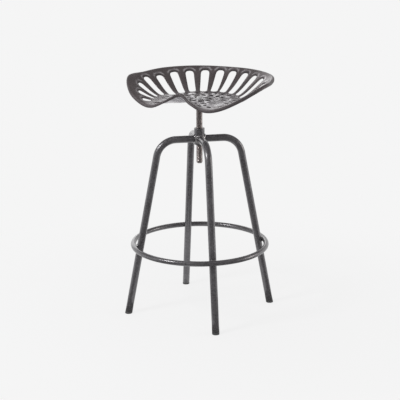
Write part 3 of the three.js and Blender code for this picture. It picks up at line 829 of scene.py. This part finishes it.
roll_levels, line_clearance, least_edge_square = (0, 0.25, 0.5, 0.75, 1, 1.5), 0.8 * mm, 1e-12
slot_line_gaps, hole_line_gaps = (1.1 * mm, 2.4 * mm, 4.0 * mm, 6.4 * mm), (0.9 * mm,)
seat_dark, seat_light = (0.088, 0.077, 0.08, 1), (0.22, 0.193, 0.199, 1)
# The darkest tone colours the pressed marks and is also the painted shade at the slot arcs and over the rim;
# the worn tone colours worn places and is also the painted highlight on the arcs' crests and the painted
# light under the notch.
seat_recess_and_shade, seat_worn_and_lit = (0.034, 0.031, 0.033, 1), (0.56, 0.545, 0.565, 1)
worn_middle, worn_reaches, worn_shares = (0.016, -0.036, 0.664), (0.07, 0.17), (1.0, 0.2)
bare_heights, rub_share, least_rub_share = (674 * mm, 663.5 * mm), 0.4, 0.55
# These act on the mark values, which also carry the painted shade, painted highlight and painted light.
proud_mark_and_shade, raised_wear_and_light, mark_and_shade_roughness, bare_and_lit_metal_loss = 0.4, -0.9, 0.45, -0.7
seat_metal, seat_gloss, seat_coat, seat_relief = (0.84, 0.05), (0.3, 0.46), (0.25, 0), (0.13, 0.0006)


def mirrored_curve(half, steps=40):
    """A smooth closed curve through half a turn of entries and their mirror image"""
    loop = np.vstack([half, half[-2:0:-1] * np.array([-1] + [1] * (half.shape[1] - 1))])
    before, after, beyond = np.roll(loop, 1, 0), np.roll(loop, -1, 0), np.roll(loop, -2, 0)
    squared = 2 * before - 5 * loop + 4 * after - beyond
    cubed = 3 * loop - before - 3 * after + beyond
    parts = [0.5 * (2 * loop + (after - before) * t + squared * t ** 2 + cubed * t ** 3)
             for t in np.arange(steps) / steps]
    return np.stack(parts, 1).reshape(-1, half.shape[1])


rim_turns = pi * np.array(rim_angle_shares)
rim_radii = seat_half_width * np.array(rim_radius_shares)
rim_line = mirrored_curve(np.stack([
    rim_radii * np.sin(rim_turns), rim_radii * np.cos(rim_turns),
    pan_height + seat_rise * np.array(rim_height_shares), np.array(rim_slopes),
    pan_radius * np.array(pan_edge_shares)], 1))


def polar(points):
    """Distance from the centre and turn from the rear, clockwise from above"""
    return np.hypot(points[:, 0], points[:, 1]), np.arctan2(points[:, 0], points[:, 1])


rim_reach, rim_turn = polar(rim_line)
rim_turn = np.mod(rim_turn, tau)
rim_order = np.argsort(rim_turn)


def round_the_rim(turn, values):
    return np.interp(np.mod(turn, tau), rim_turn[rim_order], values[rim_order], period=tau)


def seat_spoke(turn):
    """The seat's section at a turn: wall start, wall end, its top, slope and lean, and the roll's centre"""
    radius, top, slope, pan_edge = (round_the_rim(turn, values) for values in (
        rim_reach, rim_line[:, 2], rim_line[:, 3], rim_line[:, 4]))
    lean = np.arctan(slope)
    wall_end = radius - roll_radius - roll_radius * np.sin(lean)
    wall_top = top - roll_radius + roll_radius * np.cos(lean)
    return pan_edge, wall_end, wall_top, slope, lean, radius - roll_radius, top - roll_radius


def roll_start(turn):
    """Where the wall ends and the roll starts at a turn, and the length over the roll"""
    _, wall_end, _, _, lean, _, _ = seat_spoke(turn)
    return wall_end, roll_radius * (pi / 2 + lean)


def seat_surface(reach, turn):
    """Radius and height of the seat's upper skin, by reach from the centre along the sheet's edge"""
    pan_edge, wall_end, wall_top, slope, lean, roll_centre, roll_height = seat_spoke(turn)
    span = wall_end - pan_edge
    t = np.clip((reach - pan_edge) / span, 0, 1)
    risen = (wall_top - pan_height) * (3 * t ** 2 - 2 * t ** 3)
    wall = pan_height + risen + span * slope * (t ** 3 - t ** 2)
    rolled = np.clip((reach - wall_end) / roll_radius, 0, pi / 2 + lean)
    left = pi / 2 + lean - rolled
    on_roll = reach > wall_end
    radius = np.where(on_roll, roll_centre + roll_radius * np.cos(left), reach)
    height = np.where(on_roll, roll_height + roll_radius * np.sin(left), wall)
    lip = np.clip(reach - wall_end - roll_radius * (pi / 2 + lean), 0, None)
    return radius, height - lip


def rounded_loop(corners, corner_size, side_step):
    """A closed outline through corners, with each rounded and its sides divided"""
    count = len(corners)
    loop = []
    for i, (corner, size) in enumerate(zip(corners, corner_size)):
        following = corners[(i + 1) % count]
        before, after = corners[i - 1] - corner, following - corner
        start = corner + before / np.linalg.norm(before) * size
        end = corner + after / np.linalg.norm(after) * size
        loop += [bent(start, corner, end, t) for t in np.linspace(0, 1, 6)]
        next_start = following - after / np.linalg.norm(after) * corner_size[(i + 1) % count]
        pieces = max(1, int(round(np.linalg.norm(next_start - end) / side_step)))
        loop += [end + (next_start - end) * k / pieces for k in range(1, pieces)]
    return np.array(loop)


def turned_loop(loop, turn):
    """A loop drawn along the rear direction, turned clockwise from the rear as seen from above"""
    return loop @ np.array([[cos(turn), -sin(turn)], [sin(turn), cos(turn)]])


def slot_loops():
    """The slots, wider outwards, in pairs from the rear: one on the right and its mirror on the left"""
    loops = []
    for turn_share, start_share, end_share in zip(slot_turns, slot_starts, slot_ends):
        low = pan_radius * np.interp(turn_share, rim_angle_shares, pan_edge_shares)
        rim = seat_half_width * np.interp(turn_share, rim_angle_shares, rim_radius_shares)
        high = rim - 2 * roll_radius
        start, end = low + (high - low) * start_share, low + (high - low) * end_share
        if not loops:
            full_length = end - start
        width = narrowest_slot_share + (1 - narrowest_slot_share) * min(1, (end - start) / full_length)
        inner, outer = slot_inner_width * width / 2, slot_outer_width * width / 2
        half_length = (end - start) / 2 * most_corner_share
        near = min(slot_inner_corner, inner * most_corner_share, half_length)
        far = min(slot_outer_corner, outer * most_corner_share, half_length)
        corners = np.array([(-inner, start), (inner, start), (outer, end), (-outer, end)])
        loop = rounded_loop(corners, [near, near, far, far], slot_side_step)
        loops += [turned_loop(loop, pi * turn_share), turned_loop(loop, -pi * turn_share)]
    return loops


def petal_loops():
    """A ring of holes with curved sides that meet in two points"""
    t = np.linspace(0, 1, 10)[:, None]
    left, right, outer, inner = (np.array([across, petal_circle_radius + out]) for across, out in (
        (-petal_length / 2, 0), (petal_length / 2, 0), (0, petal_width), (0, -petal_width)))
    there, back = bent(left, outer, right, t), bent(right, inner, left, t)
    loop = np.vstack([there[:-1], back[:-1]])[::-1]
    return [turned_loop(loop, tau * (i + 0.5) / petal_count) for i in range(petal_count)]


def circle_loop(x, y, radius, steps=20):
    turns = tau * np.arange(steps) / steps
    return np.stack([x + radius * np.cos(turns), y + radius * np.sin(turns)], 1)


def grown_loop(loop, distance):
    """A convex anticlockwise loop moved outwards"""
    along = np.roll(loop, -1, 0) - np.roll(loop, 1, 0)
    outward = np.stack([along[:, 1], -along[:, 0]], 1)
    return loop + outward / np.linalg.norm(outward, axis=1)[:, None] * distance


def inside_loop(points, loop):
    """Which points lie inside a convex anticlockwise loop"""
    inside = np.ones(len(points), bool)
    for start, end in zip(loop, np.roll(loop, -1, 0)):
        edge = end - start
        inside &= edge[0] * (points[:, 1] - start[1]) - edge[1] * (points[:, 0] - start[0]) > 0
    return inside


def distance_to_loop(points, loop):
    best = np.full(len(points), 1.0)
    for start, end in zip(loop, np.roll(loop, -1, 0)):
        edge = end - start
        t = np.clip(((points - start) @ edge) / max(edge @ edge, least_edge_square), 0, 1)
        best = np.minimum(best, np.linalg.norm(points - start - t[:, None] * edge, axis=1))
    return best


def leaf_depth(across, along, width):
    """Depth from 0 to 1 of a pressed leaf, by the place across it and the share of its half length"""
    edge = width / 2 * np.clip(1 - along ** 2, 0, None) - np.abs(across)
    return np.clip(edge / leaf_edge + leaf_edge_share, 0, 1) * (np.abs(along) < 1)


def ring_places(points, count, first_turn):
    """Distance from the centre, and turn from the nearest of a ring's marks"""
    reach, turn = polar(points)
    step = tau / count
    return reach, np.mod(turn - first_turn + step / 2, step) - step / 2


def leaf_marks(points, count, middle, length, width, first_turn, lean):
    """Depth of a ring of pressed leaves, each pointing outwards with a lean"""
    reach, off = ring_places(points, count, first_turn)
    return leaf_depth(off * reach - lean * (reach - middle), (reach - middle) / (length / 2), width)


def dot_marks(points, count, middle, size, first_turn=0.0):
    reach, off = ring_places(points, count, first_turn)
    return np.clip((size - np.hypot(off * middle, reach - middle)) / dot_edge + dot_edge_share, 0, 1)


def pressed_marks(points):
    """The pressed ornament: rings of leaves and dots on the floor, and three larger leaves on each lobe"""
    marks = [leaf_marks(points, *ring) for ring in leaf_rings] + [dot_marks(points, *dot_ring)]
    marks.append(leaf_marks(points, *outer_leaf_ring) * (points[:, 1] > outer_leaves_front))
    for turn_share, middle, length, width in lobe_leaf_places:
        for turn in (pi * turn_share, -pi * turn_share):
            across = points[:, 0] * cos(turn) - points[:, 1] * sin(turn)
            out = points[:, 0] * sin(turn) + points[:, 1] * cos(turn)
            marks.append(leaf_depth(across, (out - middle) / (length / 2), width))
    return np.max(marks, axis=0)


def seat_outline(level):
    """A loop of the seat at a share of the way from the wall's end, over the roll, to the lip's edge"""
    turns = tau * np.arange(rim_steps) / rim_steps
    wall_end, over = roll_start(turns)
    reach = wall_end + np.where(level <= 1, over * level, over + (rim_drop - roll_radius) * (level - 1))
    return np.stack([reach * np.sin(turns), reach * np.cos(turns)], 1)[::-1]


def finder(points):
    """A tree that finds the nearest of some flat points"""
    tree = kdtree.KDTree(len(points))
    for index, (x, y) in enumerate(points):
        tree.insert((x, y, 0), index)
    tree.balance()
    return tree


def clear_points(points, holes, kept, least):
    """Those of the points that lie in no hole and further than a distance from each kept point"""
    for hole in holes:
        points = points[~inside_loop(points, hole)]
    return points[np.array([kept.find((x, y, 0))[2] > least for x, y in points], bool)]


def seat_holes():
    """The loops of all holes: first the slots, then the petals, the centre hole and the bolt holes"""
    bolt_turns = [pi / 4 + tau * i / bolt_count for i in range(bolt_count)]
    return slot_loops() + petal_loops() + [circle_loop(0, 0, centre_hole_radius)] \
        + [circle_loop(bolt_circle_radius * cos(turn), bolt_circle_radius * sin(turn),
                       bolt_hole_radius, 12) for turn in bolt_turns]


def seat_layout(holes):
    """Points in the sheet's own plane, and the triangles between them that are sheet and not hole"""
    fixed = [seat_outline(2)] + holes
    edges, first = [], 0
    for loop in fixed:
        edges += [(first + i, first + (i + 1) % len(loop)) for i in range(len(loop))]
        first += len(loop)
    lines = [seat_outline(level) for level in roll_levels]
    for index, hole in enumerate(holes):
        gaps = slot_line_gaps if index < slot_count else hole_line_gaps
        lines += [grown_loop(hole, gap) for gap in gaps]
    kept = np.vstack(fixed)
    held = finder(kept)
    kept = np.vstack([kept] + [clear_points(line, holes, held, line_clearance) for line in lines])
    held = finder(kept)
    for step, fine in ((floor_mesh_step, True), (wall_mesh_step, False)):
        rows = int(2 * mesh_reach / (step * row_share))
        grid = np.array([(x + (row % 2) * step / 2, -mesh_reach + row * step * row_share)
                         for row in range(rows) for x in np.arange(-mesh_reach, mesh_reach, step)])
        reach, turns = polar(grid)
        in_lobe = (np.abs(turns) > lobe_turn) & (reach < lobe_reach)
        wanted = ((reach < floor_mesh_reach) | in_lobe) == fine
        grid = grid[wanted & (reach < roll_start(turns)[0] - 0.5 * step)]
        kept = np.vstack([kept, clear_points(grid, holes, held, least_apart_share * step)])
    flat, _, triangles, *_ = delaunay_2d_cdt([Vector(p) for p in kept], edges, [], 0, same_place)
    flat = np.array([(p.x, p.y) for p in flat])
    triangles = np.array([face for face in triangles if len(face) == 3])
    middle = flat[triangles].mean(1)
    reach, turns = polar(middle)
    wall_end, over = roll_start(turns)
    sheet = reach < wall_end + over + rim_drop - roll_radius
    for hole in holes:
        sheet &= ~inside_loop(middle, hole)
    used, numbers = np.unique(triangles[sheet], return_inverse=True)
    return flat[used], numbers.reshape(-1, 3)


def painted_slot_arcs(flat, reach, slot, away):
    """Painted shade in an arc round a slot's outer end, less a painted highlight on the crest above it"""
    far_end = np.hypot(slot[:, 0], slot[:, 1]).max()
    outer_end = np.clip((reach - far_end + slot_outer_width * arc_start_share) / arc_fade, 0, 1)
    crest = np.clip(arc_crest_level - np.abs(away - arc_crest) / arc_crest_width, 0, 1)
    middle = slot.mean(0) / np.linalg.norm(slot.mean(0))
    shoulder = np.abs(flat @ np.array([middle[1], -middle[0]])) / (slot_outer_width * arc_shoulder_share)
    crest = crest * np.clip(crest_middle_share + crest_shoulder_share * shoulder, 0, most_crest_share)
    return outer_end * (arc_dark_share * np.clip((arc_dark_width - away) / mm, 0, 1) - crest)


def sheet_edges(upper, normal, triangles):
    """A bulging middle line along every edge of the sheet, and the faces from it to both skins"""
    sides = dict.fromkeys(side for a, b, c in triangles.tolist() for side in ((a, b), (b, c), (c, a)))
    border = [(start, end) for start, end in sides if (end, start) not in sides]
    outward = {}
    for start, end in border:
        side = np.cross(upper[end] - upper[start], normal[start])
        side /= np.linalg.norm(side)
        for vertex in (start, end):
            outward[vertex] = outward.get(vertex, 0) + side
    count = len(upper)
    number = {vertex: 2 * count + i for i, vertex in enumerate(outward)}
    points = [upper[v] - normal[v] * sheet_thickness / 2 + side / np.linalg.norm(side) * edge_bulge
              for v, side in outward.items()]
    faces = []
    for start, end in border:
        faces.append((end, start, number[start], number[end]))
        faces.append((number[end], number[start], start + count, end + count))
    return np.array(points), faces


def seat_skin():
    """The pressed sheet with both skins and rounded edges, and a value at each point: above zero in pressed
    marks and painted shade, below zero on worn pips, painted highlights and painted light
    """
    holes = seat_holes()
    flat, triangles = seat_layout(holes)
    reach, turns = polar(flat)
    radius, height = seat_surface(reach, turns)
    marks = pressed_marks(flat)
    for hole in holes[slot_count:]:
        marks *= np.clip((distance_to_loop(flat, hole) - hole_margin) / margin_fade, 0, 1)
    pips = dot_marks(flat, petal_count, petal_circle_radius, pip_size)
    dish, painted_arcs = np.zeros(len(flat)), np.zeros(len(flat))
    for slot in holes[:slot_count]:
        away = distance_to_loop(flat, slot)
        marks *= np.clip((away - slot_margin) / margin_fade, 0, 1)
        dish = np.maximum(dish, np.clip(1 - away / slot_dish_width, 0, 1) ** slot_dish_power)
        # Painted shade in an arc at each slot's outer end, less a painted highlight on its crest.
        painted_arcs += painted_slot_arcs(flat, reach, slot, away)
    plain = np.stack([radius * np.sin(turns), radius * np.cos(turns), height - slot_dish_depth * dish], 1)
    pressed = raised_height * pips - pressed_depth * marks * (1 - pips)
    upper = plain + np.stack([0 * pressed, 0 * pressed, pressed], 1)
    corner = plain[triangles]
    face_normal = np.cross(corner[:, 1] - corner[:, 0], corner[:, 2] - corner[:, 0])
    normal = np.zeros_like(upper)
    for k in range(3):
        np.add.at(normal, triangles[:, k], face_normal)
    normal /= np.linalg.norm(normal, axis=1)[:, None]
    lower = plain - normal * (sheet_thickness - show_through_share * pressed[:, None])
    edge_points, edge_faces = sheet_edges(upper, normal, triangles)
    # Painted light on the underside round the front notch, for light thrown up from the floor.
    from_notch = np.hypot(flat[:, 0] - notch_middle[0], flat[:, 1] - notch_middle[1])
    notch_light = notch_light_share * np.clip(2 - 2 * from_notch / notch_light_reach, 0, 1)
    # Painted shade darkening the roll and the lip over the rim.
    past_wall = (reach - roll_start(turns)[0]) / roll_radius
    painted_rim_shade = lip_shade_share * np.clip(past_wall - lip_shade_start, 0, 1)
    # Above zero: pressed marks, and painted shade at the slot arcs and over the rim. Below zero: wear on the
    # pips, painted highlight on the arcs' crests and painted light on the underside round the notch.
    marks_and_painted_light = np.concatenate([np.clip(marks * (1 - pips) - pips + painted_arcs + painted_rim_shade, -1, 1), -notch_light,
                             np.zeros(len(edge_points))])
    faces = triangles.tolist() + (triangles[:, ::-1] + len(upper)).tolist() + edge_faces
    return np.vstack([upper, lower, edge_points]), faces, marks_and_painted_light


def worn_and_lit_seat_paint():
    """Dark paint, darker in the pressed marks and rubbed light on raised places and on the floor sat on;
    painted shade darkens the slot arcs and the rim, and painted highlight and painted light lighten the
    arcs' crests and the underside round the notch
    """
    material, tree, shader = new_finish("worn_and_lit_seat_paint", Coat_Roughness=0.12, Specular_IOR_Level=0.15)
    texture = effect(tree, hammered, Cell=0.0035, Patch=0.05)
    wear = effect(tree, rubbed, Size=0.035, Amount=0.5)["Mask"]
    marks_and_painted_light = add(tree, "Attribute", attribute_name="marks_and_painted_light").outputs["Fac"]
    place = add(tree, "TexCoord").outputs["Object"]
    height = add(tree, "SeparateXYZ", {0: place}).outputs[2]
    off_thigh = add(tree, "VectorMath", {0: place, 1: worn_middle}, operation="DISTANCE").outputs["Value"]
    sat_on = ranged(tree, off_thigh, worn_reaches, worn_shares, interpolation_type="SMOOTHSTEP")
    rubbed_share = combine(tree, "MULTIPLY_ADD", wear, rub_share, least_rub_share)
    low_share = combine(tree, "MULTIPLY", rubbed_share, ranged(tree, height, bare_heights))
    thigh_share = combine(tree, "MULTIPLY", low_share, sat_on)
    proud = ranged(tree, marks_and_painted_light, (0, proud_mark_and_shade), (1, 0))
    worn_ground = combine(tree, "MULTIPLY", thigh_share, proud)
    # Below zero the values are worn pips, painted highlight and painted light, all turned to the light worn
    # tone.
    raised_and_lit = combine(tree, "MULTIPLY", marks_and_painted_light, raised_wear_and_light, use_clamp=True)
    bare_and_lit = combine(tree, "MAXIMUM", worn_ground, raised_and_lit)
    painted = ranged(tree, marks_and_painted_light, wanted=seat_metal)
    gloss = ranged(tree, texture["Tone"], wanted=seat_gloss)
    worn_and_lit = blend(tree, bare_and_lit, blend(tree, texture["Tone"], seat_dark, seat_light), seat_worn_and_lit)
    join(tree, shader, Base_Color=blend(tree, marks_and_painted_light, worn_and_lit, seat_recess_and_shade),
         Roughness=combine(tree, "MULTIPLY_ADD", marks_and_painted_light, mark_and_shade_roughness, gloss),
         Metallic=combine(tree, "MULTIPLY_ADD", bare_and_lit, bare_and_lit_metal_loss, painted, use_clamp=True),
         Coat_Weight=ranged(tree, marks_and_painted_light, wanted=seat_coat),
         Normal=relief(tree, texture["Height"], *seat_relief))
    return material


seat_points, seat_faces, seat_marks_and_light = seat_skin()
seat_mesh = bpy.data.meshes.new("pressed_seat")
seat_mesh.from_pydata(seat_points.tolist(), [], seat_faces)
seat_mesh.shade_smooth()
# The attribute carries the pressed marks and wear together with the painted shade, painted highlight and
# painted light.
marks_and_painted_light = seat_mesh.attributes.new("marks_and_painted_light", "FLOAT", "POINT")
marks_and_painted_light.data.foreach_set("value", seat_marks_and_light.astype(np.float32))
seat_mesh.materials.append(worn_and_lit_seat_paint())
seat = bpy.data.objects.new("pressed_seat", seat_mesh)
scene.collection.objects.link(seat)
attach(seat, "seat")
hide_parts("seat_pan")

# Centre washer and bolt: bright plated steel, in the middle of the pan. The bolt goes down into
# the spindle's tapped end and clamps the pan to the flange.
washer_radius, washer_bore, washer_low, washer_high = 12.5 * mm, 5.3 * mm, 664.3 * mm, 666.8 * mm
washer_rounds = (0.3 * mm, 0.4 * mm, 0.8 * mm, 0.4 * mm)
centre_bolt_radius, centre_head_radius, centre_head_height = 5 * mm, 8.5 * mm, 5 * mm
centre_seat, centre_grip = 667.1 * mm, 24 * mm
bright_light, bright_dark = (0.66, 0.66, 0.67, 1), (0.46, 0.455, 0.45, 1)
bright_rubbed = (0.76, 0.76, 0.76, 1)

bright_steel = two_tone_finish(
    "bright_plated_steel", turning_marks, {"Pitch": 0.0003, "Bloom": 0.008}, (bright_light, bright_dark),
    gloss=(0.22, 0.4), bump=(0.12, 0.0001), wear={"Size": 0.01, "Amount": 0.6},
    rubbed_tone=bright_rubbed, Metallic=0.4)
washer_skin = sleeve_skin(washer_bore, washer_radius, washer_low, washer_high, washer_rounds)
washer = finished_piece("pan_washer", washer_skin, bright_steel, sharp_angle=45)
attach(washer, "seat")
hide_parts("centre_washer")

centre_bolt_skin = domed_bolt_skin(centre_bolt_radius, centre_grip, centre_head_radius, centre_head_height,
                                   centre_seat, sides=56)
centre_screw = finished_piece("pan_centre_bolt", centre_bolt_skin, bright_steel, sharp_angle=40)
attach(centre_screw, "seat")
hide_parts("centre_bolt")
